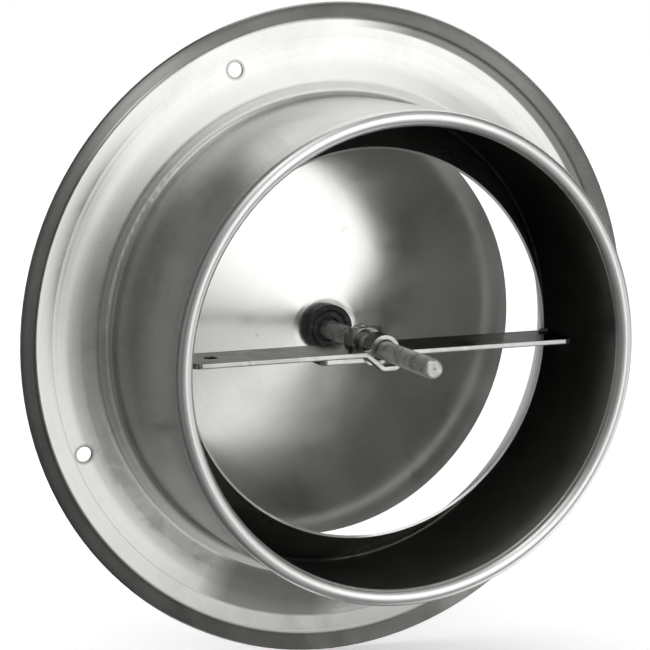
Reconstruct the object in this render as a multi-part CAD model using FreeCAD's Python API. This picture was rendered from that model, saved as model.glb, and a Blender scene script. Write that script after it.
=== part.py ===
import FreeCAD, Part
import math
import os

# Supply air valve for a DN 150 round duct, in spun and pressed stainless sheet.
# Millimetres. The valve is built round its own axis: x runs along the bridge strap, y is up,
# z points back into the duct. place() then lays that axis level, so the duct side faces -Y.
# Heights along the axis are measured from the flange's flat back face, inside its lip.

# Duct and spigot collar
duct_bore = 150.0
duct_clearance = 0.5
collar_height = 60.4
collar_sheet = 0.8
rim_roll_radius = 2.45
rim_tail = 0.6
foot_width = 4.2
foot_bend = 2.3

# Valve ring: flange with a raised lip and a crease, flared up to the collar's seat, and the bell mouth
ring_sheet = 0.8
flange_diameter = 207.0
lip_width = 4.8
lip_height = 2.9
lip_bend = 2.2
outer_zone_width = 5.9
crease_bend = 6.0
flare_height = 0.12
flare_share = 0.6
flare_bend_share = 0.28
seat_height = 1.3
seat_margin = 0.8
seat_bend = 3.0
mouth_diameter = 120.0
mouth_height = 27.6
mouth_foot_gap = 0.2
mouth_bend = 2.0
screw_hole_count = 4
screw_hole_diameter = 4.8
screw_circle_inset = 3.4
screw_hole_angle = 22.0

# Bridge strap: slit into three bands, pressed down, up and down to pass the spindle
strap_sheet = 1.5
strap_width = 18.0
strap_drop = 0.35
strap_tab_reach = 2.2
strap_notch_depth = 2.6
strap_notch_gap = 0.3
strap_corner = 2.8
strap_bend = 0.8
trough_top_width = 15.0
trough_bottom_width = 4.0
trough_depth = 4.6
arch_gap = 0.3
arch_foot_bend = 0.6
back_band_width = 3.6
arch_band_width = 6.6
hang_hole_diameter = 4.0
hang_hole_inset = 8.3

# Strip welded under the strap, with one end sloped beside the trough
doubler_left = -22.4
doubler_right = -9.2
doubler_slope = 1.6
doubler_sheet = 1.6
doubler_width = 15.0
doubler_corner = 2.0

# Spindle and what it screws through
thread_diameter = 6.0
spindle_back_reach = 12.7
spindle_chamfer = 0.6
spindle_centre_depth = 0.8
spindle_centre_diameter = 1.2
running_gap = 0.05
nut_width = 10.0
nut_height = 3.2
nut_overhang = 1.8
nut_chamfer_angle = 30.0
lock_nut_height = 3.2
seat_gap = 0.1

# Valve disc and its hub
disc_diameter = 138.8
disc_sheet = 0.8
disc_opening = 14.3
disc_dish = 8.2
disc_flat_diameter = 20.0
disc_bend = 12.0
hub_diameter = 15.6
hub_height = 4.0
hub_rim_width = 1.6
hub_rim_rise = 0.7
hub_recess_gap = 1.0
hub_recess_depth = 2.0
hub_round = 0.5
washer_diameter = 14.0
washer_height = 1.0
cap_nut_height = 8.0
cap_nut_collar = 4.5
cap_nut_dome_diameter = 9.5
cap_nut_wall = 2.0

# Weld beads: at the ends of the strap and on both sides of the square nut
weld_length = 3.6
weld_radius = 1.1
nut_weld_length = 3.0
nut_weld_radius = 0.9
nut_weld_drop = 2.0

# Sizes that follow from those above
collar_r = duct_bore / 2 - duct_clearance
spindle_r = thread_diameter / 2
thread_bore_r = spindle_r + running_gap
flange_r = flange_diameter / 2
crease_r = flange_r - lip_width - outer_zone_width
screw_circle_r = crease_r - screw_circle_inset
mouth_r = mouth_diameter / 2
disc_r = disc_diameter / 2
foot_r = collar_r + foot_width
seat_r = foot_r + seat_margin
flare_width = crease_r - seat_r
flare_r = seat_r + flare_share * flare_width
strap_back = mouth_height + strap_width - strap_notch_depth
strap_front = strap_back - strap_width
back_mouth_r = mouth_r + ring_sheet
mouth_foot_r = collar_r - collar_sheet - mouth_foot_gap
strap_half_length = back_mouth_r + strap_tab_reach
arch_back = strap_back - back_band_width
arch_front = arch_back - arch_band_width
nut_front = strap_front - nut_overhang
nut_corner_r = nut_width / math.sqrt(3)
lock_nut_back = nut_front - seat_gap
disc_centre = disc_dish - disc_opening
hub_back = disc_centre + hub_height
washer_back = disc_centre - disc_sheet
cap_nut_back = washer_back - washer_height
spindle_back = collar_height + spindle_back_reach
spindle_front = cap_nut_back - cap_nut_height + cap_nut_wall

# Cutting tools reach this far past what they cut, and edges are told apart by these tolerances
cut_past = 1.0
strap_cut_height = 4 * trough_depth
shortest_run = 1e-6
match_tolerance = 1e-4

ORIGIN = FreeCAD.Vector(0, 0, 0)
AXIS = FreeCAD.Vector(0, 0, 1)


def place(shape):
    """Lays the valve's axis level: the duct side then faces -Y and y becomes up."""
    shape = shape.copy()
    shape.rotate(ORIGIN, FreeCAD.Vector(1, 0, 0), 90)
    return shape


def unit(a, b):
    """Direction from a to b, in a plane."""
    length = math.hypot(b[0] - a[0], b[1] - a[1])
    return ((b[0] - a[0]) / length, (b[1] - a[1]) / length)


def beside(points, distance):
    """The same run of straight lines, set to the left by a distance."""
    moved = []
    for i, p in enumerate(points):
        before = unit(points[i - 1], p) if i > 0 else None
        after = unit(p, points[i + 1]) if i < len(points) - 1 else None
        first = before or after
        second = after or before
        nx = -first[1] - second[1]
        ny = first[0] + second[0]
        scale = distance * 2 / (nx * nx + ny * ny)
        moved.append((p[0] + nx * scale, p[1] + ny * scale))
    return moved


def turn(a, b, c):
    """Angle turned at b, to the left."""
    u = unit(a, b)
    v = unit(b, c)
    return math.atan2(u[0] * v[1] - u[1] * v[0], u[0] * v[0] + u[1] * v[1])


def bent_edges(points, radii, to_space):
    """Straight runs joined by arcs: radii holds one radius for each inner corner."""
    edges = []
    start = points[0]
    for i in range(1, len(points) - 1):
        corner = points[i]
        angle = turn(points[i - 1], corner, points[i + 1])
        u = unit(points[i - 1], corner)
        v = unit(corner, points[i + 1])
        radius = radii[i - 1]
        reach = radius * math.tan(abs(angle) / 2)
        first = (corner[0] - u[0] * reach, corner[1] - u[1] * reach)
        last = (corner[0] + v[0] * reach, corner[1] + v[1] * reach)
        sagitta = radius / math.cos(angle / 2) - radius
        inward = unit(corner, ((first[0] + last[0]) / 2, (first[1] + last[1]) / 2))
        middle = (corner[0] + inward[0] * sagitta, corner[1] + inward[1] * sagitta)
        if math.hypot(first[0] - start[0], first[1] - start[1]) > shortest_run:
            edges.append(Part.makeLine(to_space(start), to_space(first)))
        edges.append(Part.Arc(to_space(first), to_space(middle), to_space(last)).toShape())
        start = last
    if math.hypot(points[-1][0] - start[0], points[-1][1] - start[1]) > shortest_run:
        edges.append(Part.makeLine(to_space(start), to_space(points[-1])))
    return edges


def sheet_face(points, radii, sheet, to_space):
    """Section of bent sheet: points run along its right side, radii are those of that side's bends."""
    other = beside(points, sheet)
    other_radii = []
    for i, radius in enumerate(radii):
        left = turn(points[i], points[i + 1], points[i + 2]) > 0
        other_radii.append(radius - sheet if left else radius + sheet)
    near = bent_edges(points, radii, to_space)
    far = bent_edges(other, other_radii, to_space)
    ends = [
        Part.makeLine(to_space(points[0]), to_space(other[0])),
        Part.makeLine(to_space(points[-1]), to_space(other[-1])),
    ]
    wire = Part.Wire(Part.__sortEdges__(near + far + ends))
    return Part.Face(wire)


def section(p):
    """Radius and height of a turned part, as a point of the half plane that is revolved."""
    return FreeCAD.Vector(p[0], 0, p[1])


def turned(face):
    return face.revolve(ORIGIN, AXIS, 360)


def turned_outline(points):
    wire = Part.makePolygon([section(p) for p in points + points[:1]])
    return turned(Part.Face(wire))


def rod(radius, low, high):
    return Part.makeCylinder(radius, high - low, FreeCAD.Vector(0, 0, low), AXIS)


def hexagon_prism(low, high):
    """Hexagon across the nuts' width, with one corner up."""
    corners = []
    for i in range(7):
        angle = math.radians(60 * i + 30)
        x = nut_corner_r * math.cos(angle)
        y = nut_corner_r * math.sin(angle)
        corners.append(FreeCAD.Vector(x, y, low))
    face = Part.Face(Part.makePolygon(corners))
    return face.extrude(FreeCAD.Vector(0, 0, high - low))


def crowned(shape, low, high):
    """Turns a hexagon nut's corners down to its flats at both ends."""
    flat_r = nut_width / 2
    drop = (nut_corner_r - flat_r) * math.tan(math.radians(nut_chamfer_angle))
    outline = [
        (0, low),
        (flat_r, low),
        (nut_corner_r, low + drop),
        (nut_corner_r, high - drop),
        (flat_r, high),
        (0, high),
    ]
    return shape.common(turned_outline(outline))


def valve_ring():
    """Spun flange with lip and crease, the collar's seat, and the bell mouth."""
    lean = math.atan(lip_height / lip_width)
    lip_r = flange_r - ring_sheet * math.sin(lean)
    # The points run inward along the back of the sheet, so the room side lies to the left.
    points = [
        (lip_r, lip_height),
        (lip_r - lip_width, 0),
        (crease_r, 0),
        (flare_r, flare_height),
        (seat_r, seat_height),
        (mouth_foot_r, seat_height),
        (back_mouth_r, mouth_height),
    ]
    flare_bend = flare_bend_share * flare_width / math.tan(abs(turn(*points[2:5])) / 2)
    radii = [lip_bend, crease_bend, flare_bend, seat_bend, mouth_bend]
    ring = turned(sheet_face(points, radii, ring_sheet, section))
    for i in range(screw_hole_count):
        angle = math.radians(screw_hole_angle + 360 * i / screw_hole_count)
        x = screw_circle_r * math.cos(angle)
        y = screw_circle_r * math.sin(angle)
        spot = FreeCAD.Vector(x, y, -ring_sheet - cut_past)
        depth = ring_sheet + 2 * cut_past
        ring = ring.cut(Part.makeCylinder(screw_hole_diameter / 2, depth, spot, AXIS))
    return ring


def spigot_collar():
    """Tube with its back edge rolled inward and its foot turned out on the ring."""
    crest = collar_height
    wall_top = crest - rim_roll_radius
    foot = [
        (foot_r, seat_height),
        (collar_r - collar_sheet, seat_height),
        (collar_r - collar_sheet, wall_top),
    ]
    wall = turned(sheet_face(foot, [foot_bend + collar_sheet], -collar_sheet, section))
    centre_r = collar_r - rim_roll_radius
    inner_roll = rim_roll_radius - collar_sheet
    outer = Part.Arc(
        section((collar_r, wall_top)),
        section((centre_r, crest)),
        section((centre_r - rim_roll_radius, wall_top)),
    ).toShape()
    inner = Part.Arc(
        section((centre_r + inner_roll, wall_top)),
        section((centre_r, crest - collar_sheet)),
        section((centre_r - inner_roll, wall_top)),
    ).toShape()
    tail_end = wall_top - rim_tail
    edges = [
        outer,
        inner,
        Part.makeLine(section((collar_r, wall_top)), section((centre_r + inner_roll, wall_top))),
        Part.makeLine(
            section((centre_r - rim_roll_radius, wall_top)),
            section((centre_r - rim_roll_radius, tail_end)),
        ),
        Part.makeLine(
            section((centre_r - rim_roll_radius, tail_end)),
            section((centre_r - inner_roll, tail_end)),
        ),
        Part.makeLine(
            section((centre_r - inner_roll, tail_end)),
            section((centre_r - inner_roll, wall_top)),
        ),
    ]
    roll = turned(Part.Face(Part.Wire(Part.__sortEdges__(edges))))
    return wall.fuse(roll).removeSplitter()


def across(p):
    """Point of the strap's section, which is extruded along the valve's axis."""
    return FreeCAD.Vector(p[0], p[1], 0)


def trough_section():
    """Section of a strap band that is pressed down into a flat-bottomed trough."""
    top = trough_top_width / 2
    bottom = trough_bottom_width / 2
    middle = [
        (-strap_half_length, -strap_drop),
        (-top, -strap_drop),
        (-bottom, -strap_drop - trough_depth),
        (bottom, -strap_drop - trough_depth),
        (top, -strap_drop),
        (strap_half_length, -strap_drop),
    ]
    underside = beside(middle, -strap_sheet / 2)
    radii = [strap_bend, strap_bend + strap_sheet, strap_bend + strap_sheet, strap_bend]
    return sheet_face(underside, radii, strap_sheet, across)


def arch_run(arch_r, bend_r, level):
    """One side of the arch band: flat, foot bend, arch round the spindle, foot bend, flat."""
    foot_y = level + bend_r
    reach = arch_r + bend_r
    foot_x = math.sqrt(reach * reach - foot_y * foot_y)
    tangent = (foot_x * arch_r / reach, foot_y * arch_r / reach)
    lean = math.atan2(foot_y, foot_x)
    middle_angle = (lean - math.pi / 2) / 2
    bend_middle = (
        foot_x - bend_r * math.cos(middle_angle),
        foot_y + bend_r * math.sin(middle_angle),
    )
    edges = [Part.Arc(across((-tangent[0], tangent[1])), across((0, arch_r)), across(tangent)).toShape()]
    for side in (-1, 1):
        end = across((side * foot_x, level))
        start = across((side * tangent[0], tangent[1]))
        middle = across((side * bend_middle[0], bend_middle[1]))
        edges.append(Part.Arc(start, middle, end).toShape())
        edges.append(Part.makeLine(end, across((side * strap_half_length, level))))
    return edges


def arch_section():
    """Section of the strap band that is pressed up over the spindle."""
    inner_r = spindle_r + arch_gap
    top = strap_sheet / 2 - strap_drop
    bottom = -strap_sheet / 2 - strap_drop
    outside = arch_run(inner_r + strap_sheet, arch_foot_bend, top)
    inside = arch_run(inner_r, arch_foot_bend + strap_sheet, bottom)
    ends = []
    for side in (-1, 1):
        x = side * strap_half_length
        ends.append(Part.makeLine(across((x, bottom)), across((x, top))))
    return Part.Face(Part.Wire(Part.__sortEdges__(outside + inside + ends)))


def band(face, low, high):
    """One band of the strap, between two heights along the valve's axis."""
    strip = face.extrude(FreeCAD.Vector(0, 0, high - low))
    strip.translate(FreeCAD.Vector(0, 0, low))
    return strip


def bridge_strap():
    """Strap on edge across the mouth, slit and pressed round the spindle, with notched ends."""
    strip = band(trough_section(), strap_front, arch_front)
    strip = strip.fuse(
        [band(arch_section(), arch_front, arch_back), band(trough_section(), arch_back, strap_back)]
    ).removeSplitter()
    notch_x = mouth_r - strap_notch_gap
    for side in (-1, 1):
        corner_x = notch_x if side > 0 else -notch_x - strap_half_length
        strip = strip.cut(strap_cutter(corner_x, strap_half_length, strap_front, mouth_height))
        strip = strip.cut(end_rounding(side))
    hole_x = hang_hole_inset - strap_half_length
    hole = upright_pin(hang_hole_diameter / 2, hole_x, strap_back - strap_width / 2)
    nut_seat = strap_cutter(
        -nut_width / 2 - seat_gap,
        nut_width + 2 * seat_gap,
        nut_front,
        nut_front + nut_height + seat_gap,
    )
    return strip.cut(hole).cut(nut_seat)


def upright_box(x, length, height, low, high):
    """Box from x onwards, centred on the axis in height."""
    box = Part.makeBox(length, height, high - low)
    box.translate(FreeCAD.Vector(x, -height / 2, low))
    return box


def strap_cutter(x, length, low, high):
    """Box that cuts right through the strap."""
    return upright_box(x, length, strap_cut_height, low, high)


def upright_pin(radius, x, z):
    """Cylinder that stands right through the strap."""
    foot = FreeCAD.Vector(x, -strap_cut_height / 2, z)
    return Part.makeCylinder(radius, strap_cut_height, foot, FreeCAD.Vector(0, 1, 0))


def end_rounding(side):
    """What is cut off the back corner at one end of the strap to round it."""
    x = strap_half_length - strap_corner if side > 0 else -strap_half_length
    corner = strap_cutter(x, strap_corner, strap_back - strap_corner, strap_back)
    centre_x = side * (strap_half_length - strap_corner)
    return corner.cut(upright_pin(strap_corner, centre_x, strap_back - strap_corner))


def strap_doubler():
    """Short strip welded flat under the strap, left of the trough."""
    top = -strap_drop - strap_sheet / 2
    bottom = top - doubler_sheet
    outline = [
        (doubler_left, top),
        (doubler_left, bottom),
        (doubler_right + doubler_slope, bottom),
        (doubler_right, top),
    ]
    face = Part.Face(Part.makePolygon([across(p) for p in outline + outline[:1]]))
    plate = band(face, strap_back - doubler_width, strap_back)
    far_corners = [e for e in plate.Edges if stands_at(e, doubler_left)]
    return plate.makeFillet(doubler_corner, far_corners)


def stands_at(edge, x):
    """True for an upright edge at that x."""
    ends = [v.Point for v in edge.Vertexes]
    return all(abs(p.x - x) < match_tolerance for p in ends) and abs(ends[0].z - ends[1].z) < match_tolerance


def is_ring(edge, radius, height):
    """True for the circle of that radius round the axis at that height."""
    if not isinstance(edge.Curve, Part.Circle):
        return False
    same_size = abs(edge.Curve.Radius - radius) < match_tolerance
    same_height = abs(edge.Curve.Center.z - height) < match_tolerance
    return same_size and same_height


def spindle_nut():
    """Thin square nut in a cut-out of the strap's front edge, chamfered at the back."""
    low = nut_front
    high = nut_front + nut_height
    corner_r = nut_width / math.sqrt(2)
    drop = (corner_r - nut_width / 2) * math.tan(math.radians(nut_chamfer_angle))
    block = upright_box(-nut_width / 2, nut_width, nut_width, low, high)
    outline = [(0, low), (corner_r, low), (corner_r, high - drop), (nut_width / 2, high), (0, high)]
    return block.common(turned_outline(outline)).cut(rod(thread_bore_r, low - cut_past, high + cut_past))


def lock_nut():
    """Thin hexagon nut that jams the spindle against the square nut."""
    low = lock_nut_back - lock_nut_height
    nut = crowned(hexagon_prism(low, lock_nut_back), low, lock_nut_back)
    return nut.cut(rod(thread_bore_r, low - cut_past, lock_nut_back + cut_past))


def threaded_spindle():
    outline = [
        (0, spindle_front),
        (spindle_r - spindle_chamfer, spindle_front),
        (spindle_r, spindle_front + spindle_chamfer),
        (spindle_r, spindle_back - spindle_chamfer),
        (spindle_r - spindle_chamfer, spindle_back),
        (spindle_centre_diameter / 2, spindle_back),
        (0, spindle_back - spindle_centre_depth),
    ]
    return turned_outline(outline)


def valve_disc():
    """Shallow cone that points back into the duct, with a flat for the hub."""
    low = -disc_opening
    points = [
        (disc_r, low),
        (disc_flat_diameter / 2, disc_centre),
        (thread_bore_r, disc_centre),
    ]
    return turned(sheet_face(points, [disc_bend], disc_sheet, section))


def hub_boss():
    """Black rubber boss round the spindle, with a raised rim and a recess."""
    outer = hub_diameter / 2
    recess_r = spindle_r + hub_recess_gap
    rim = outer - hub_rim_width
    face = hub_back - hub_rim_rise
    outline = [
        (thread_bore_r, disc_centre),
        (outer, disc_centre),
        (outer, hub_back),
        (rim, hub_back),
        (rim - hub_rim_rise, face),
        (recess_r, face),
        (recess_r, face - hub_recess_depth),
        (thread_bore_r, face - hub_recess_depth),
    ]
    boss = turned_outline(outline)
    rim_edges = [e for e in boss.Edges if is_ring(e, outer, hub_back) or is_ring(e, rim, hub_back)]
    return boss.makeFillet(hub_round, rim_edges)


def front_washer():
    low = cap_nut_back
    ring = rod(washer_diameter / 2, low, low + washer_height)
    return ring.cut(rod(thread_bore_r, low - cut_past, cap_nut_back + washer_height + cut_past))


def cap_nut():
    """Domed nut on the room side, blind so that the spindle's end stays covered."""
    low = cap_nut_back - cap_nut_height
    collar_low = cap_nut_back - cap_nut_collar
    nut = crowned(hexagon_prism(collar_low, cap_nut_back), collar_low, cap_nut_back)
    dome_r = cap_nut_dome_diameter / 2
    rise = cap_nut_height - cap_nut_collar
    slope = math.sqrt(0.5)
    arc = Part.Arc(
        section((dome_r, collar_low)),
        section((dome_r * slope, collar_low - rise * slope)),
        section((0, low)),
    ).toShape()
    edges = [
        arc,
        Part.makeLine(section((0, low)), section((0, cap_nut_back))),
        Part.makeLine(section((0, cap_nut_back)), section((dome_r, cap_nut_back))),
        Part.makeLine(section((dome_r, cap_nut_back)), section((dome_r, collar_low))),
    ]
    dome = turned(Part.Face(Part.Wire(Part.__sortEdges__(edges))))
    bore = rod(thread_bore_r, spindle_front - seat_gap, cap_nut_back + cut_past)
    return nut.fuse(dome).removeSplitter().cut(bore)


def weld_bead(start, end, radius):
    """Rounded bead between two points, before it is cut to lie in its corner."""
    run = end - start
    bead = Part.makeCylinder(radius, run.Length, start, run)
    return bead.fuse([Part.makeSphere(radius, start), Part.makeSphere(radius, end)])


def bridge_weld(side):
    """Weld beads in the corners between one end of the strap and the edge of the mouth."""
    middle = side * (mouth_r + ring_sheet / 2)
    half_run = weld_length / 2 - weld_radius
    beads = []
    for face in (-1, 1):
        y = face * strap_sheet / 2 - strap_drop
        start = FreeCAD.Vector(middle - half_run, y, mouth_height)
        end = FreeCAD.Vector(middle + half_run, y, mouth_height)
        corner = Part.makeBox(weld_length, weld_radius, weld_radius)
        low_y = y if face > 0 else y - weld_radius
        corner.translate(FreeCAD.Vector(middle - weld_length / 2, low_y, mouth_height))
        beads.append(weld_bead(start, end, weld_radius).common(corner))
    return Part.makeCompound(beads)


def nut_weld(side):
    """Weld bead between one side of the square nut and the strap's front edge."""
    x = side * nut_width / 2
    half_run = nut_weld_length / 2 - nut_weld_radius
    start = FreeCAD.Vector(x, -nut_weld_drop - half_run, strap_front)
    end = FreeCAD.Vector(x, -nut_weld_drop + half_run, strap_front)
    corner = Part.makeBox(nut_weld_radius, nut_weld_length, nut_weld_radius)
    low_x = x if side > 0 else x - nut_weld_radius
    low_y = -nut_weld_drop - nut_weld_length / 2
    corner.translate(FreeCAD.Vector(low_x, low_y, strap_front - nut_weld_radius))
    return weld_bead(start, end, nut_weld_radius).common(corner)


def write_parts():
    os.makedirs("parts", exist_ok=True)
    nodes = {
        "valve_ring": valve_ring(),
        "spigot_collar": spigot_collar(),
        "bridge_strap": bridge_strap(),
        "strap_doubler": strap_doubler(),
        "spindle_nut": spindle_nut(),
        "nut_weld_left": nut_weld(-1),
        "nut_weld_right": nut_weld(1),
        "bridge_weld_left": bridge_weld(-1),
        "bridge_weld_right": bridge_weld(1),
        "lock_nut": lock_nut(),
        "threaded_spindle": threaded_spindle(),
        "valve_disc": valve_disc(),
        "hub_boss": hub_boss(),
        "front_washer": front_washer(),
        "cap_nut": cap_nut(),
    }
    for name, shape in nodes.items():
        placed = place(shape)
        placed.exportStep(os.path.join("parts", name + ".step"))
        box = placed.BoundBox
        print(name, placed.isValid(), len(placed.Solids), round(placed.Volume, 1),
              [round(v, 2) for v in (box.XMin, box.YMin, box.ZMin, box.XMax, box.YMax, box.ZMax)])


write_parts()
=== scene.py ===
import bmesh
import bpy
import math
from mathutils import Matrix, Vector


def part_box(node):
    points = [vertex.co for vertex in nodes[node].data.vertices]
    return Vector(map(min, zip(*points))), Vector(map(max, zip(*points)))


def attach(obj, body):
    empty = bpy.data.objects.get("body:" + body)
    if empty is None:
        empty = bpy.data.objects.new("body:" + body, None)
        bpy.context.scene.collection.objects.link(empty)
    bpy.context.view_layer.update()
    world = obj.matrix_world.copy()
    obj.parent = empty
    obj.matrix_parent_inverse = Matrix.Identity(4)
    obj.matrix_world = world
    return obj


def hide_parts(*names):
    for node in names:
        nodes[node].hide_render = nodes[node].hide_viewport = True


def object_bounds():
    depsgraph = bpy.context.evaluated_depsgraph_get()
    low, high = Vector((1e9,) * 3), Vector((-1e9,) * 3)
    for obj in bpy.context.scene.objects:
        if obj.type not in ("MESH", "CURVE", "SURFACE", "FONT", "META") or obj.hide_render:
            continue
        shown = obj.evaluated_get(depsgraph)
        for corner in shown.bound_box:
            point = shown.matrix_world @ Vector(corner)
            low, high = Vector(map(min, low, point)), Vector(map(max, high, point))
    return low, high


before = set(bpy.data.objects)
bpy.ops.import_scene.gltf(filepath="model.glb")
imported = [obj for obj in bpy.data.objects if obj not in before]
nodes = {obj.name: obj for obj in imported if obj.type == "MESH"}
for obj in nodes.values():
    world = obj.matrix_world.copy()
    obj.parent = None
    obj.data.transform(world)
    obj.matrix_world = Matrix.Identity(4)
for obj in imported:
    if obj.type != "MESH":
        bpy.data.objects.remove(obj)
cad_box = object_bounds()

# Everything is in metres. The valve's axis lies along Y, and its duct side faces -Y.

# Camera, from the ellipses of the photograph's circles
CAMERA_PLACE = Vector((-0.32376, -0.7286, 0.13511))
CAMERA_RIGHT = Vector((0.91566, -0.4019, 0.00847))
CAMERA_UP = Vector((0.05868, 0.1545, 0.98628))
PHOTO_PIXELS = 650
FOCAL_PIXELS = 2554.6
SENSOR_WIDTH = 36.0
NEAREST_SEEN = 0.01

# Thread of the spindle, M6 x 1, with narrow flats at its crest and root
THREAD_PITCH = 0.001
THREAD_DEPTH = 0.00013
THREAD_CREST_SHARE = 0.12
THREAD_FLANK_SHARE = 0.7
THREAD_ROWS = 10
THREAD_SEGMENTS = 40
END_CHAMFER = 0.0006
CENTRE_DIMPLE_R = 0.00035
CENTRE_DIMPLE_DEPTH = 0.0004

# Places on the ring, the collar and the strap, from their corners
FLANGE_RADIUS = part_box("valve_ring")[1].x
COLLAR_LOW, COLLAR_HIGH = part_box("spigot_collar")
STRAP_LOW, STRAP_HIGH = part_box("bridge_strap")
LIP_BEND_RADIUS = FLANGE_RADIUS - 0.0051
CREASE_RADIUS = FLANGE_RADIUS - 0.0107
HOLE_CIRCLE_RADIUS = CREASE_RADIUS - 0.0034
HOLE_COUNT = 4
FIRST_HOLE_ANGLE = 22
COLLAR_MIDDLE_RADIUS = COLLAR_HIGH.x - 0.0046
FLARE_RADIUS = COLLAR_HIGH.x - 0.0052
RIM_START = COLLAR_LOW.y + 0.0048
FOOT_END = -0.006
HANG_HOLE_PLACE = (STRAP_LOW.x + 0.0083, (STRAP_LOW.y + STRAP_HIGH.y) / 2)
HANG_HOLE_RADIUS = 0.002

# Marks on the steel, most of them painted shade, one a painted highlight and one partly dirt: strengths,
# radii, heights above the axis, angles round it in degrees, and the cosines between which a mark fades away
# from its angle
# Dark colour of the real specks and dirt, and of the painted shade
SOIL_AND_SHADE_COLOUR = (0.1, 0.095, 0.08, 1.0)
# Painted highlight on the collar's rolled rim: its colour and strength, and the blur of the rim zone's edge,
# which the rim's roughness also uses
RIM_HIGHLIGHT_COLOUR = (0.93, 0.925, 0.91, 1.0)
RIM_HIGHLIGHT_STRENGTH = 0.9
RIM_ZONE_EDGE = 0.0006
# Painted shade: a dark line along the flange's crease
CREASE_LINE_WIDTH = 0.0005
CREASE_STRENGTHS = (0.25, 0.06)
CREASE_FADE_HEIGHTS = (-0.03, 0.01)
# Painted shade: a dark line at the flange's outer edge
LIP_EDGE_RADII = (0.1014, 0.103)
LIP_EDGE_STRENGTH = 0.4
# Painted shade along the lip's bend, stronger low down
LIP_BEND_HALF_WIDTHS = (0.0004, 0.0009)
LIP_BEND_STRENGTH = 0.6
LIP_BEND_FADE_HEIGHTS = (-0.03, 0.02)
# Painted shade beside the lip at the upper right
LIP_SHADE_RADII = (0.0955, 0.0993)
LIP_SHADE_EDGE = 0.0006
LIP_SHADE_ANGLE = 48
LIP_SHADE_FADE = (0.78, 0.9)
LIP_SHADE_STRENGTH = 0.75
# Darker, brownish zone at the bottom of the flange's back
BOTTOM_DARK_EDGE = 0.0005
BOTTOM_DARK_ANGLE = 256
BOTTOM_DARK_FADE = (0.96, 0.986)
BOTTOM_DARK_STRENGTH = 0.65
# Mottled dirt with painted shade beside the collar's foot
FOOT_SOIL_AND_SHADE_RADII = (0.0785, 0.086)
FOOT_SOIL_AND_SHADE_EDGE = 0.002
FOOT_SOIL_AND_SHADE_STRENGTH = 0.3
FOOT_SOIL_AND_SHADE_FADE_HEIGHTS = (-0.05, 0.0)
# Painted shade round the screw holes
HOLE_SHADE_RADIUS = 0.0035
HOLE_SHADE_EDGE = 0.0013
HOLE_SHADE_STRENGTH = 0.75
# Painted shade: a dark outline round the strap's hang hole
HANG_HOLE_SHADE_WIDTH = 0.0002
HANG_HOLE_SHADE_STRENGTH = 0.9
# Painted shade on the front of the mouth's flare
FLARE_SHADE_STRENGTH = 0.6
FLARE_SHADE_EDGE = 0.001
FLARE_START_DEPTHS = (0.0, 0.002)
# Painted shade on the collar's inside
INSIDE_SHADE_STRENGTH = 0.5
INSIDE_SHADE_EDGE = 0.0001
INSIDE_SHADE_FADE = 0.002
BACK_FACING = (-0.4, -0.2)

# Duller zones: what they add to the roughness
RING_DULL_RADII = (0.083, 0.089)
RING_DULLNESS = 0.13
RIM_DULLNESS = 0.14
FOOT_DULLNESS = 0.16
FOOT_DULL_EDGE = 0.003

# Surface relief: heights and sizes
SPUN_LINE_HEIGHT = 0.0000015
DISC_LINE_HEIGHT = 0.000002
RING_WAVE_HEIGHT = 0.00002
SMOOTH_WAVE_HEIGHT = 0.00001
DRAWN_LINE_HEIGHT = 0.000004
PIT_HEIGHT = 0.000002
DUST_HEIGHT = 0.00012
GRAIN_HEIGHT = 0.00002
EDGE_ROUNDING = 0.0006
EDGE_SAMPLES = 6
BEAD_BUMP_SIZE = 0.0016
BEAD_BUMP_HEIGHT = 0.0004
BEAD_SUBDIVISIONS = 3
BEAD_MERGE_DISTANCE = 0.00001

# Colours of the finishes, from the dark to the light of their mottled tone
RING_TONES = ((0.58, 0.58, 0.56, 1.0), (0.68, 0.675, 0.66, 1.0))
COLLAR_TONES = ((0.57, 0.57, 0.55, 1.0), (0.69, 0.685, 0.67, 1.0))
DISC_TONES = ((0.7, 0.7, 0.675, 1.0), (0.76, 0.755, 0.735, 1.0))
STRAP_TONES = ((0.4, 0.4, 0.39, 1.0), (0.6, 0.595, 0.58, 1.0))
ROD_TONES = ((0.34, 0.335, 0.32, 1.0), (0.7, 0.695, 0.675, 1.0))
NUT_TONES = ((0.13, 0.125, 0.11, 1.0), (0.42, 0.41, 0.39, 1.0))
WELD_TONES = ((0.22, 0.21, 0.19, 1.0), (0.5, 0.48, 0.45, 1.0))
RUBBER_TONES = ((0.012, 0.012, 0.012, 1.0), (0.09, 0.088, 0.082, 1.0))

# Studio: directions in degrees, azimuth 0 is -Y and turns towards +X
WHITE = (1.0, 1.0, 1.0, 1.0)
WORLD_STRENGTHS = (0.8, 1.0)
FLOOR_SIZE = 3.0
FLOOR_COLOUR = (0.95, 0.95, 0.95, 1.0)
FLOOR_GLOW = 0.36
KEY_AZIMUTH = 21.0
KEY_ELEVATION = 4.0
KEY_DISTANCE = 1.9
KEY_SIZE = (0.88, 1.32)
KEY_POWER = 4.5

# Surround that the metal mirrors: dark in front, with a window, and white behind the valve
COVE_RADIUS = 2.0
COVE_AZIMUTHS = range(-178, 171, 2)
COVE_ELEVATIONS = range(-88, 89, 2)
COVE_GREY = 0.07
COVE_FADE_TO_WHITE = (168, 178)

# White part behind the valve, on the room side, and a dark patch in it
BEHIND_AZIMUTH = 120
BEHIND_SHADE = 0.93
BEHIND_SHADE_START = (122, 130)
BEHIND_SHADE_END = (158, 166)
BEHIND_SHADE_TOP = (5, 12)

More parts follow.
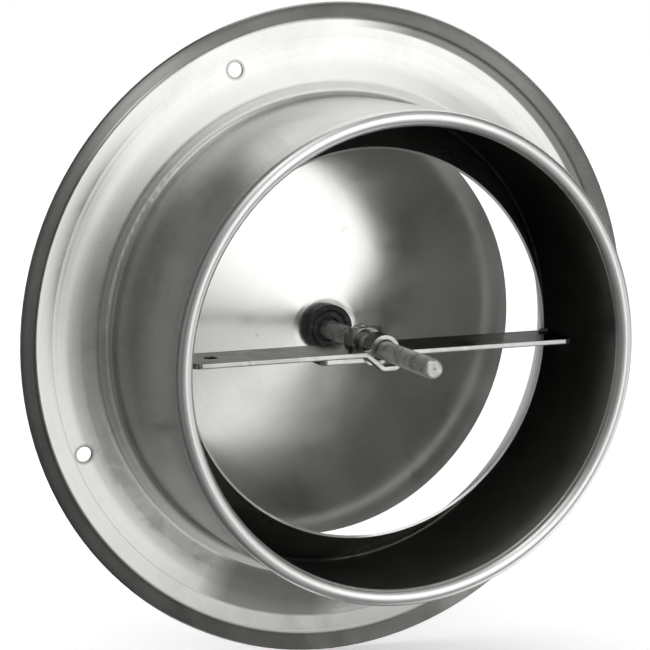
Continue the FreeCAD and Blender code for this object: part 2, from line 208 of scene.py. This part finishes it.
# Window: its lightness, its edges with half their blur, and how far they lean for each degree
WINDOW_LIGHTNESS = 1.15
WINDOW_UPPER_LIGHTNESS = 0.37
WINDOW_UPPER_START = (-10, 2)
WINDOW_LEFT = 4.5
WINDOW_LEFT_BLUR = 7
WINDOW_LEFT_KNEE = -10
WINDOW_LEFT_LEAN_ABOVE = 0.25
WINDOW_LEFT_LEAN_BELOW = 0.1
WINDOW_RIGHT = 36
WINDOW_RIGHT_BLUR = 1.5
WINDOW_RIGHT_LEAN = 0.2
WINDOW_BOTTOM = -27
WINDOW_BOTTOM_BLUR = 6
WINDOW_BOTTOM_LEAN = 0.7
WINDOW_BOTTOM_RAMP = (15, 25)
WINDOW_TOP = (36, 46)
WINDOW_CORNER_SHADE = 0.35
WINDOW_CORNER_SIDE = (17, 23)
WINDOW_CORNER_TOP = (-18, -12)

# Soft patches of the surround: lightness, azimuth, elevation, half width and half height
COVE_PATCHES = {
    "left of the window": (0.33, -24, 0, 13, 36),
    "low in front": (0.45, -10, -42, 24, 14),
    "under the window's left edge": (0.15, 2, -37, 14, 6),
    "under the window's right edge": (0.3, 28, -26, 12, 8),
    "right of the window": (0.42, 56, 22, 16, 36),
    "on the horizon at the right": (0.75, 62, -6, 17, 8),
    "low at the far right": (1.6, 88, -40, 24, 30),
    "high at the left": (1.8, -38, 52, 20, 12),
    "high at the right": (0.45, 52, 62, 26, 12),
    "overhead": (1.1, -40, 70, 50, 16),
    "far left": (0.25, -82, 18, 14, 34),
    "low at the far left": (0.1, -75, -35, 25, 25),
    "underneath": (0.1, 0, -68, 70, 16),
}
DARK_STRIP = (0.9, 20.8, -25, 2.8, 7)


def direction(azimuth, elevation):
    """Unit vector; azimuth 0 is -Y and turns towards +X, in degrees."""
    a = math.radians(azimuth)
    e = math.radians(elevation)
    return Vector((math.sin(a) * math.cos(e), -math.cos(a) * math.cos(e), math.sin(e)))


def link(obj):
    bpy.context.scene.collection.objects.link(obj)
    return obj


def make_camera():
    data = bpy.data.cameras.new("camera")
    data.sensor_width = SENSOR_WIDTH
    data.lens = SENSOR_WIDTH * FOCAL_PIXELS / PHOTO_PIXELS
    data.clip_start = NEAREST_SEEN
    camera = link(bpy.data.objects.new("camera", data))
    right = CAMERA_RIGHT.normalized()
    back = right.cross(CAMERA_UP).normalized()
    up = back.cross(right)
    turned = Matrix((right, up, back)).transposed().to_4x4()
    camera.matrix_world = Matrix.Translation(CAMERA_PLACE) @ turned
    bpy.context.scene.camera = camera


class Graph:
    """Short way to write the nodes of a material or a world."""

    def __init__(self, owner):
        owner.use_nodes = True
        self.tree = owner.node_tree
        self.tree.nodes.clear()

    def node(self, kind, **settings):
        made = self.tree.nodes.new(kind)
        for key, value in settings.items():
            setattr(made, key, value)
        return made

    def join(self, source, target):
        self.tree.links.new(source, target)

    def feed(self, socket, value):
        """Joins a socket to another, or sets it to a number or colour."""
        if isinstance(value, bpy.types.NodeSocket):
            self.join(value, socket)
        else:
            socket.default_value = value

    def math(self, operation, a, b=0.0):
        made = self.node("ShaderNodeMath", operation=operation)
        self.feed(made.inputs[0], a)
        self.feed(made.inputs[1], b)
        return made.outputs[0]

    def most(self, values):
        """The largest of several values."""
        largest = values[0]
        for value in values[1:]:
            largest = self.math("MAXIMUM", largest, value)
        return largest

    def product(self, values):
        made = values[0]
        for value in values[1:]:
            made = self.math("MULTIPLY", made, value)
        return made

    def noise(self, vector, scale, detail=2.0, rough=0.5, distortion=0.0):
        made = self.node("ShaderNodeTexNoise")
        self.join(vector, made.inputs["Vector"])
        made.inputs["Scale"].default_value = scale
        made.inputs["Detail"].default_value = detail
        made.inputs["Roughness"].default_value = rough
        made.inputs["Distortion"].default_value = distortion
        return made.outputs["Fac"]

    def spread(self, value, given, wanted=(0.0, 1.0)):
        """Maps a given range of values to a wanted one, clamped."""
        made = self.node("ShaderNodeMapRange")
        self.feed(made.inputs["Value"], value)
        made.inputs["From Min"].default_value = given[0]
        made.inputs["From Max"].default_value = given[1]
        made.inputs["To Min"].default_value = wanted[0]
        made.inputs["To Max"].default_value = wanted[1]
        return made.outputs["Result"]

    def between(self, value, low, high, edge):
        """1 between two values, fading to 0 over the edge inside each."""
        above = self.spread(value, (low, low + edge))
        below = self.spread(value, (high - edge, high), (1.0, 0.0))
        return self.math("MULTIPLY", above, below)

    def off(self, value, middle):
        """How far a value lies from a middle one, to either side."""
        return self.math("ABSOLUTE", self.math("SUBTRACT", value, middle))

    def blend(self, factor, a, b):
        made = self.node("ShaderNodeMix", data_type="RGBA")
        self.feed(made.inputs["Factor"], factor)
        self.feed(made.inputs["A"], a)
        self.feed(made.inputs["B"], b)
        return made.outputs["Result"]

    def combined(self, x, y, z):
        made = self.node("ShaderNodeCombineXYZ")
        self.feed(made.inputs[0], x)
        self.feed(made.inputs[1], y)
        self.feed(made.inputs[2], z)
        return made.outputs[0]

    def bump(self, height, distance, below=None):
        made = self.node("ShaderNodeBump")
        made.inputs["Distance"].default_value = distance
        self.join(height, made.inputs["Height"])
        if below is not None:
            self.join(below, made.inputs["Normal"])
        return made.outputs["Normal"]

    def finish(self, shader, output="ShaderNodeOutputMaterial"):
        out = self.node(output)
        self.join(shader.outputs[0], out.inputs["Surface"])


class Spot:
    """Where a shaded point lies: its place, its coordinates and its distance from the valve's axis."""

    def __init__(self, g):
        self.place = g.node("ShaderNodeTexCoord").outputs["Object"]
        apart = g.node("ShaderNodeSeparateXYZ")
        g.join(self.place, apart.inputs[0])
        self.x, self.y, self.z = apart.outputs
        self.radius = distance_from(g, self.x, self.z)


def distance_from(g, across, along, centre=(0.0, 0.0)):
    """Distance of two coordinates from a centre, such as a hole's or the valve's axis."""
    a = g.math("SUBTRACT", across, centre[0])
    b = g.math("SUBTRACT", along, centre[1])
    return g.math("SQRT", g.math("ADD", g.math("MULTIPLY", a, a), g.math("MULTIPLY", b, b)))


def towards(g, spot, angle):
    """Cosine between a spot's direction from the axis and an angle."""
    a = math.radians(angle)
    across = g.math("MULTIPLY", spot.x, math.cos(a))
    upward = g.math("MULTIPLY", spot.z, math.sin(a))
    return g.math("DIVIDE", g.math("ADD", across, upward), spot.radius)


def hole_painted_shade(g, spot):
    """Painted shade round the punched screw holes."""
    stains = []
    fade = (HOLE_SHADE_RADIUS - HOLE_SHADE_EDGE, HOLE_SHADE_RADIUS)
    for i in range(HOLE_COUNT):
        angle = math.radians(FIRST_HOLE_ANGLE + 360 * i / HOLE_COUNT)
        centre = (HOLE_CIRCLE_RADIUS * math.cos(angle), HOLE_CIRCLE_RADIUS * math.sin(angle))
        apart = distance_from(g, spot.x, spot.z, centre)
        stains.append(g.spread(apart, fade, (HOLE_SHADE_STRENGTH, 0.0)))
    return g.most(stains)


def lip_painted_shade(g, spot):
    """Painted shade beside the lip at the upper right."""
    near = g.spread(towards(g, spot, LIP_SHADE_ANGLE), LIP_SHADE_FADE, (0.0, LIP_SHADE_STRENGTH))
    return g.math("MULTIPLY", near, g.between(spot.radius, *LIP_SHADE_RADII, LIP_SHADE_EDGE))


def lip_bend_painted_shade(g, spot):
    """Painted shade: a dark line along the lip's bend, on the lower half."""
    line = g.spread(g.off(spot.radius, LIP_BEND_RADIUS), LIP_BEND_HALF_WIDTHS, (LIP_BEND_STRENGTH, 0.0))
    return g.math("MULTIPLY", line, g.spread(spot.z, LIP_BEND_FADE_HEIGHTS, (1.0, 0.0)))


def bottom_darkening(g, spot):
    """Darker, brownish zone at the bottom, which ends at the crease."""
    near = g.spread(towards(g, spot, BOTTOM_DARK_ANGLE), BOTTOM_DARK_FADE, (0.0, BOTTOM_DARK_STRENGTH))
    outside = g.spread(spot.radius, (CREASE_RADIUS - BOTTOM_DARK_EDGE, CREASE_RADIUS), (1.0, 0.0))
    return g.math("MULTIPLY", near, outside)


def foot_soil_and_shade(g, spot):
    """Mottled dirt, with painted shade, beside the collar's foot, low down."""
    beside = g.between(spot.radius, *FOOT_SOIL_AND_SHADE_RADII, FOOT_SOIL_AND_SHADE_EDGE)
    clouds = g.noise(spot.place, scale=75.0, detail=5.0, rough=0.65, distortion=1.0)
    patches = g.spread(clouds, (0.44, 0.64), (0.0, FOOT_SOIL_AND_SHADE_STRENGTH))
    low_down = g.spread(spot.z, FOOT_SOIL_AND_SHADE_FADE_HEIGHTS, (1.0, 0.0))
    return g.product([beside, patches, low_down])


def crease_painted_shade(g, spot):
    """Painted shade: a fine dark line along the crease, stronger low down."""
    line = g.spread(g.off(spot.radius, CREASE_RADIUS), (0.0, CREASE_LINE_WIDTH / 2), (1.0, 0.0))
    return g.math("MULTIPLY", line, g.spread(spot.z, CREASE_FADE_HEIGHTS, CREASE_STRENGTHS))


def flare_painted_shade(g, spot):
    """Painted shade on the front of the mouth's flare."""
    inside = (FLARE_RADIUS, FLARE_RADIUS + FLARE_SHADE_EDGE)
    flare = g.spread(spot.radius, inside, (FLARE_SHADE_STRENGTH, 0.0))
    return g.math("MULTIPLY", flare, g.spread(spot.y, FLARE_START_DEPTHS))


def ring_marks_and_shade(g, spot):
    """Painted shade on the back of the flange, at its edge, lip, holes and crease, and on the front of the
    mouth's flare, with dirt beside the collar's foot and a darker zone at the bottom.
    """
    # Painted shade: a dark line at the flange's outer edge
    edge = g.spread(spot.radius, LIP_EDGE_RADII, (0.0, LIP_EDGE_STRENGTH))
    marks = [lip_painted_shade(g, spot), bottom_darkening(g, spot), foot_soil_and_shade(g, spot), edge, lip_bend_painted_shade(g, spot)]
    facing = g.node("ShaderNodeSeparateXYZ")
    g.join(g.node("ShaderNodeTexCoord").outputs["Normal"], facing.inputs[0])
    back = g.spread(facing.outputs[1], BACK_FACING, (1.0, 0.0))
    on_back = g.math("MULTIPLY", g.most(marks), back)
    return g.most([on_back, hole_painted_shade(g, spot), crease_painted_shade(g, spot), flare_painted_shade(g, spot)])


def collar_painted_shade(g, spot):
    """Painted shade on the collar's inside."""
    skin = (COLLAR_MIDDLE_RADIUS, COLLAR_MIDDLE_RADIUS + INSIDE_SHADE_EDGE)
    inside = g.spread(spot.radius, skin, (INSIDE_SHADE_STRENGTH, 0.0))
    return g.math("MULTIPLY", inside, g.spread(spot.y, (RIM_START, RIM_START + INSIDE_SHADE_FADE)))


def ring_dullness(g, spot):
    return g.spread(spot.radius, RING_DULL_RADII, (RING_DULLNESS, 0.0))


def collar_dullness(g, spot):
    rim = g.spread(spot.y, (RIM_START - RIM_ZONE_EDGE, RIM_START), (RIM_DULLNESS, 0.0))
    foot = g.spread(spot.y, (FOOT_END - FOOT_DULL_EDGE, FOOT_END), (0.0, FOOT_DULLNESS))
    return g.math("MAXIMUM", rim, foot)


def rim_painted_highlight(g, spot):
    """Painted highlight on the rolled rim."""
    return g.spread(spot.y, (RIM_START - RIM_ZONE_EDGE, RIM_START), (RIM_HIGHLIGHT_STRENGTH, 0.0))


def spun_steel(name, tones, rough, line_height, wave, shade_and_stains=None, dullness=None, painted_highlight=None):
    """Stainless sheet spun on a lathe: faint rings round the valve's axis, soft waves and smudges.

    shade_and_stains makes the factor of a piece's darkening, mostly painted shade with some dirt, dullness
    what its duller zones add to the roughness, and painted_highlight the factor of the zones painted
    brighter as a highlight.
    """
    material = bpy.data.materials.new(name)
    g = Graph(material)
    spot = Spot(g)
    drifting = g.math("ADD", spot.radius, g.math("MULTIPLY", spot.x, 0.02))
    lines_at = g.combined(drifting, spot.y, g.math("MULTIPLY", spot.z, 0.02))
    lines = g.noise(lines_at, scale=600.0, detail=2.0, rough=0.55)
    rings_at = g.combined(spot.radius, spot.y, g.math("MULTIPLY", spot.x, 0.08))
    rings = g.noise(rings_at, scale=90.0, detail=1.0, rough=0.5)
    smudges = g.noise(spot.place, scale=42.0, detail=6.0, rough=0.66, distortion=0.6)
    specks = g.noise(spot.place, scale=210.0, detail=3.0, rough=0.6, distortion=0.3)
    tone = g.math("ADD", g.math("MULTIPLY", smudges, 0.85), g.math("MULTIPLY", lines, 0.15))
    colour = g.blend(g.spread(tone, (0.36, 0.58)), *tones)
    marks_and_shade = g.spread(specks, (0.7, 0.78), (0.0, 0.12))
    # Random specks and the piece's own darkening pull the colour towards the dark colour; most of that
    # darkening is painted shade
    if shade_and_stains is not None:
        marks_and_shade = g.math("MAXIMUM", marks_and_shade, shade_and_stains(g, spot))
    colour = g.blend(marks_and_shade, colour, SOIL_AND_SHADE_COLOUR)
    # Painted highlight: the zones it names are blended towards a light colour
    if painted_highlight is not None:
        colour = g.blend(painted_highlight(g, spot), colour, RIM_HIGHLIGHT_COLOUR)
    shine = g.spread(smudges, (0.35, 0.65), (-0.03, 0.04))
    shine = g.math("ADD", shine, g.math("MULTIPLY", marks_and_shade, 0.2))
    if dullness is not None:
        shine = g.math("ADD", shine, dullness(g, spot))
    shader = g.node("ShaderNodeBsdfPrincipled")
    shader.inputs["Metallic"].default_value = 1.0
    g.join(colour, shader.inputs["Base Color"])
    g.join(g.math("ADD", shine, rough), shader.inputs["Roughness"])
    g.join(g.bump(lines, line_height, g.bump(rings, wave)), shader.inputs["Normal"])
    g.finish(shader)
    return material


def hang_hole_painted_shade(g, spot):
    """Painted shade: a dark outline round the strap's hang hole."""
    apart = distance_from(g, spot.x, spot.y, HANG_HOLE_PLACE)
    edge = (HANG_HOLE_RADIUS, HANG_HOLE_RADIUS + HANG_HOLE_SHADE_WIDTH)
    return g.spread(apart, edge, (HANG_HOLE_SHADE_STRENGTH, 0.0))


def drawn_steel(name, tones, rough, stretch, metallic=1.0, edge_tint=1.0, shade_and_stains=None):
    """Rolled or sawn stainless: fine lines along the piece, scuffs, softened edges and a mottled tone.

    edge_tint dims what the steel mirrors at a low angle, as a dull mill skin does.
    """
    material = bpy.data.materials.new(name)
    g = Graph(material)
    spot = Spot(g)
    mapping = g.node("ShaderNodeMapping")
    mapping.inputs["Scale"].default_value = stretch
    g.join(spot.place, mapping.inputs["Vector"])
    lines = g.noise(mapping.outputs[0], scale=1.0, detail=4.0, rough=0.6)
    smudges = g.noise(spot.place, scale=120.0, detail=4.0, rough=0.6, distortion=0.8)
    pits = g.noise(spot.place, scale=900.0, detail=3.0, rough=0.6)
    tone = g.math("ADD", g.math("MULTIPLY", smudges, 0.6), g.math("MULTIPLY", lines, 0.4))
    colour = g.blend(g.spread(tone, (0.4, 0.6)), *tones)
    # For the strap this darkening is painted shade, a dark outline round its hang hole
    if shade_and_stains is not None:
        colour = g.blend(shade_and_stains(g, spot), colour, SOIL_AND_SHADE_COLOUR)
    softened = g.node("ShaderNodeBevel", samples=EDGE_SAMPLES)
    softened.inputs["Radius"].default_value = EDGE_ROUNDING
    scuffs = g.spread(smudges, (0.3, 0.7), (-0.05, 0.07))
    shader = g.node("ShaderNodeBsdfPrincipled")
    shader.inputs["Metallic"].default_value = metallic
    shader.inputs["Specular Tint"].default_value = (edge_tint, edge_tint, edge_tint, 1.0)
    g.join(colour, shader.inputs["Base Color"])
    g.join(g.math("ADD", scuffs, rough), shader.inputs["Roughness"])
    normal = g.bump(lines, DRAWN_LINE_HEIGHT, softened.outputs["Normal"])
    g.join(g.bump(pits, PIT_HEIGHT, normal), shader.inputs["Normal"])
    g.finish(shader)
    return material


def rubber(name, tones):
    """Black rubber with a dull skin and dusty patches."""
    material = bpy.data.materials.new(name)
    g = Graph(material)
    place = g.node("ShaderNodeTexCoord").outputs["Object"]
    dust = g.noise(place, scale=330.0, detail=5.0, rough=0.65, distortion=0.5)
    grain = g.noise(place, scale=2500.0, detail=2.0, rough=0.6)
    shader = g.node("ShaderNodeBsdfPrincipled")
    g.join(g.blend(g.spread(dust, (0.5, 0.72)), *tones), shader.inputs["Base Color"])
    g.join(g.spread(dust, (0.35, 0.7), (0.42, 0.72)), shader.inputs["Roughness"])
    g.join(g.bump(grain, GRAIN_HEIGHT, g.bump(dust, DUST_HEIGHT)), shader.inputs["Normal"])
    g.finish(shader)
    return material


def dress(material, *names):
    for name in names:
        slots = nodes[name].data.materials
        if not slots:
            slots.append(material)
        for i in range(len(slots)):
            slots[i] = material


def rough_beads(*names):
    """Gives weld beads the uneven surface of a hand weld, inside their own shape."""
    texture = bpy.data.textures.new("bead_ripples", "CLOUDS")
    texture.noise_scale = BEAD_BUMP_SIZE
    for name in names:
        modifiers = nodes[name].modifiers
        weld = modifiers.new("join", "WELD")
        weld.merge_threshold = BEAD_MERGE_DISTANCE
        finer = modifiers.new("finer", "SUBSURF")
        finer.subdivision_type = "SIMPLE"
        finer.levels = BEAD_SUBDIVISIONS
        finer.render_levels = BEAD_SUBDIVISIONS
        ripples = modifiers.new("ripples", "DISPLACE")
        ripples.texture = texture
        ripples.texture_coords = "LOCAL"
        ripples.strength = BEAD_BUMP_HEIGHT
        ripples.mid_level = 1.0


def thread_radius(crest, length, along, turn):
    """Radius of the rod at a distance from its front end and a share of a turn."""
    phase = (along / THREAD_PITCH - turn) % 1.0
    from_crest = abs(2 * phase - 1) - THREAD_CREST_SHARE
    dip = THREAD_DEPTH * min(max(from_crest / THREAD_FLANK_SHARE, 0.0), 1.0)
    chamfered = crest - END_CHAMFER + min(along, length - along, END_CHAMFER)
    return min(crest - dip, chamfered)


def close_back_end(mesh, ring, back):
    """Flat back end of the rod, with a punched dimple in its centre."""
    dimple = []
    for v in ring:
        flat = Vector((v.co.x, 0, v.co.z)).normalized() * CENTRE_DIMPLE_R
        dimple.append(mesh.verts.new((flat.x, back, flat.z)))
    tip = mesh.verts.new((0, back + CENTRE_DIMPLE_DEPTH, 0))
    for j in range(THREAD_SEGMENTS):
        k = (j + 1) % THREAD_SEGMENTS
        mesh.faces.new((ring[j], ring[k], dimple[k], dimple[j]))
        mesh.faces.new((dimple[j], dimple[k], tip))


def threaded_spindle(material):
    """M6 rod with a right-hand thread, chamfered ends and a centre dimple at the back."""
    low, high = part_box("threaded_spindle")
    front = high.y
    back = low.y
    length = front - back
    rows = round(length / THREAD_PITCH * THREAD_ROWS)
    mesh = bmesh.new()
    rings = []
    for i in range(rows + 1):
        along = length * i / rows
        ring = []
        for j in range(THREAD_SEGMENTS):
            turn = j / THREAD_SEGMENTS
            r = thread_radius(high.x, length, along, turn)
            angle = 2 * math.pi * turn
            ring.append(mesh.verts.new((r * math.sin(angle), front - along, r * math.cos(angle))))
        rings.append(ring)
    for first, second in zip(rings, rings[1:]):
        for j in range(THREAD_SEGMENTS):
            k = (j + 1) % THREAD_SEGMENTS
            mesh.faces.new((first[j], first[k], second[k], second[j]))
    mesh.faces.new(list(reversed(rings[0])))
    close_back_end(mesh, rings[-1], back)
    bmesh.ops.recalc_face_normals(mesh, faces=mesh.faces)
    data = bpy.data.meshes.new("spindle_thread")
    mesh.to_mesh(data)
    mesh.free()
    data.materials.append(material)
    piece = link(bpy.data.objects.new("spindle_thread", data))
    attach(piece, "disc_unit")
    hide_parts("threaded_spindle")


def make_world():
    """White surround, a little dimmer where it lights the valve than where it is seen or mirrored."""
    world = bpy.data.worlds.new("studio")
    bpy.context.scene.world = world
    g = Graph(world)
    rays = g.node("ShaderNodeLightPath").outputs
    seen = g.most([rays["Is Camera Ray"], rays["Is Glossy Ray"], rays["Is Transmission Ray"]])
    shade = g.node("ShaderNodeBackground")
    shade.inputs["Color"].default_value = WHITE
    g.join(g.spread(seen, (0.0, 1.0), WORLD_STRENGTHS), shade.inputs["Strength"])
    g.finish(shade, "ShaderNodeOutputWorld")


def make_floor():
    """Pale paper under the valve, which stays out of the metal's reflections."""
    low = cad_box[0]
    half = FLOOR_SIZE / 2
    data = bpy.data.meshes.new("floor")
    corners = [(-half, -half, low.z), (half, -half, low.z), (half, half, low.z), (-half, half, low.z)]
    data.from_pydata(corners, [], [(0, 1, 2, 3)])
    floor = link(bpy.data.objects.new("floor", data))
    material = bpy.data.materials.new("floor_paper")
    g = Graph(material)
    matt = g.node("ShaderNodeBsdfDiffuse")
    matt.inputs["Color"].default_value = FLOOR_COLOUR
    glow = g.node("ShaderNodeEmission")
    rays = g.node("ShaderNodeLightPath").outputs
    seen = g.most([rays["Is Camera Ray"], rays["Is Transmission Ray"]])
    g.join(g.math("MULTIPLY", seen, FLOOR_GLOW), glow.inputs["Strength"])
    both = g.node("ShaderNodeAddShader")
    g.join(matt.outputs[0], both.inputs[0])
    g.join(glow.outputs[0], both.inputs[1])
    g.finish(both)
    data.materials.append(material)
    floor.visible_glossy = False


def rise(value, span):
    """Smooth step from 0 to 1 over a span of values."""
    low, high = span
    share = min(max((value - low) / (high - low), 0.0), 1.0)
    return share * share * (3 - 2 * share)


def fall(value, span):
    """Smooth step from 1 to 0 over a span of values."""
    return 1 - rise(value, span)


def blurred(edge, blur):
    return (edge - blur, edge + blur)


def soft_patch(azimuth, elevation, patch):
    """Lightness that a patch adds to the surround in a direction, most in the patch's middle."""
    lightness, middle_azimuth, middle_elevation, half_width, half_height = patch
    across = (azimuth - middle_azimuth) / half_width
    upward = (elevation - middle_elevation) / half_height
    return lightness * math.exp(-across ** 2 - upward ** 2)


def window_share(azimuth, elevation):
    """1 inside the surround's window, 0 outside it, and dimmer in its lower right corner."""
    left = WINDOW_LEFT - WINDOW_LEFT_LEAN_ABOVE * max(elevation - WINDOW_LEFT_KNEE, 0)
    left -= WINDOW_LEFT_LEAN_BELOW * max(WINDOW_LEFT_KNEE - elevation, 0)
    right = WINDOW_RIGHT + WINDOW_RIGHT_LEAN * (elevation - KEY_ELEVATION)
    ramp_start, ramp_end = WINDOW_BOTTOM_RAMP
    bottom = WINDOW_BOTTOM + WINDOW_BOTTOM_LEAN * (min(max(azimuth, ramp_start), ramp_end) - ramp_start)
    sides = rise(azimuth, blurred(left, WINDOW_LEFT_BLUR)) * fall(azimuth, blurred(right, WINDOW_RIGHT_BLUR))
    height = rise(elevation, blurred(bottom, WINDOW_BOTTOM_BLUR)) * fall(elevation, WINDOW_TOP)
    corner = rise(azimuth, WINDOW_CORNER_SIDE) * fall(elevation, WINDOW_CORNER_TOP)
    return sides * height * (1 - WINDOW_CORNER_SHADE * corner)


def cove_grey(azimuth, elevation):
    """How light the studio's surround is in a direction, as the steel mirrors it."""
    if azimuth > BEHIND_AZIMUTH:
        shade = rise(azimuth, BEHIND_SHADE_START) * fall(azimuth, BEHIND_SHADE_END)
        return 1 - BEHIND_SHADE * shade * fall(elevation, BEHIND_SHADE_TOP)
    window = WINDOW_LIGHTNESS + WINDOW_UPPER_LIGHTNESS * rise(elevation, WINDOW_UPPER_START)
    grey = COVE_GREY + window * window_share(azimuth, elevation)
    for patch in COVE_PATCHES.values():
        grey += soft_patch(azimuth, elevation, patch)
    grey *= 1 - soft_patch(azimuth, elevation, DARK_STRIP)
    return grey + (1 - grey) * rise(-azimuth, COVE_FADE_TO_WHITE)


def make_cove():
    """Grey surround of the valve, which only the metal's reflections show."""
    data = bpy.data.meshes.new("studio_cove")
    places = []
    greys = []
    faces = []
    for e in COVE_ELEVATIONS:
        for a in COVE_AZIMUTHS:
            places.append(direction(a, e) * COVE_RADIUS)
            greys.append(cove_grey(a, e))
    wide = len(COVE_AZIMUTHS)
    for i in range(len(COVE_ELEVATIONS) - 1):
        for j in range(wide - 1):
            corner = i * wide + j
            faces.append((corner, corner + 1, corner + wide + 1, corner + wide))
    data.from_pydata(places, [], faces)
    layer = data.color_attributes.new("grey", "FLOAT_COLOR", "POINT")
    for i, value in enumerate(greys):
        layer.data[i].color = (value, value, value, 1.0)
    cove = link(bpy.data.objects.new("studio_cove", data))
    cove.visible_camera = False
    cove.visible_diffuse = False
    cove.visible_transmission = False
    cove.visible_shadow = False
    material = bpy.data.materials.new("cove_cloth")
    g = Graph(material)
    shade = g.node("ShaderNodeVertexColor", layer_name="grey")
    glow = g.node("ShaderNodeEmission")
    g.join(shade.outputs["Color"], glow.inputs["Color"])
    g.finish(glow)
    data.materials.append(material)


def make_key_lamp():
    """Large soft lamp that the metal doesn't mirror, because the surround's window stands for it."""
    data = bpy.data.lights.new("key_softbox", "AREA")
    data.shape = "RECTANGLE"
    data.size, data.size_y = KEY_SIZE
    data.energy = KEY_POWER
    lamp = link(bpy.data.objects.new("key_softbox", data))
    outward = direction(KEY_AZIMUTH, KEY_ELEVATION)
    lamp.location = outward * KEY_DISTANCE
    lamp.rotation_euler = outward.to_track_quat("Z", "Y").to_euler()
    lamp.visible_glossy = False


make_camera()
make_world()
make_floor()
make_cove()
make_key_lamp()

# The ring's and collar's darkening is mostly painted shade, and the collar's rim gets a painted highlight
ring_steel = spun_steel(
    "ring_steel", RING_TONES, rough=0.16, line_height=SPUN_LINE_HEIGHT, wave=RING_WAVE_HEIGHT,
    shade_and_stains=ring_marks_and_shade, dullness=ring_dullness,
)
collar_steel = spun_steel(
    "collar_steel", COLLAR_TONES, rough=0.22, line_height=SPUN_LINE_HEIGHT, wave=SMOOTH_WAVE_HEIGHT,
    shade_and_stains=collar_painted_shade, dullness=collar_dullness, painted_highlight=rim_painted_highlight,
)
disc_steel = spun_steel(
    "disc_steel", DISC_TONES, rough=0.2, line_height=DISC_LINE_HEIGHT, wave=SMOOTH_WAVE_HEIGHT,
)
# The strap's darkening is painted shade round its hang hole
strap_steel = drawn_steel(
    "strap_steel", STRAP_TONES, rough=0.13, stretch=(25.0, 700.0, 700.0),
    edge_tint=0.27, shade_and_stains=hang_hole_painted_shade,
)
nut_steel = drawn_steel("nut_steel", NUT_TONES, rough=0.18, stretch=(300.0, 300.0, 300.0))
weld_steel = drawn_steel("weld_steel", WELD_TONES, rough=0.3, stretch=(400.0, 400.0, 400.0))
rod_steel = drawn_steel("rod_steel", ROD_TONES, rough=0.28, stretch=(500.0, 60.0, 500.0), metallic=0.68)

WELD_BEADS = ("nut_weld_left", "nut_weld_right", "bridge_weld_left", "bridge_weld_right")
dress(ring_steel, "valve_ring")
dress(collar_steel, "spigot_collar")
dress(disc_steel, "valve_disc")
dress(strap_steel, "bridge_strap", "strap_doubler")
dress(nut_steel, "spindle_nut", "lock_nut", "cap_nut", "front_washer")
dress(weld_steel, *WELD_BEADS)
dress(rubber("hub_rubber", RUBBER_TONES), "hub_boss")
threaded_spindle(rod_steel)
rough_beads(*WELD_BEADS)

bpy.context.scene.view_settings.view_transform = "Standard"
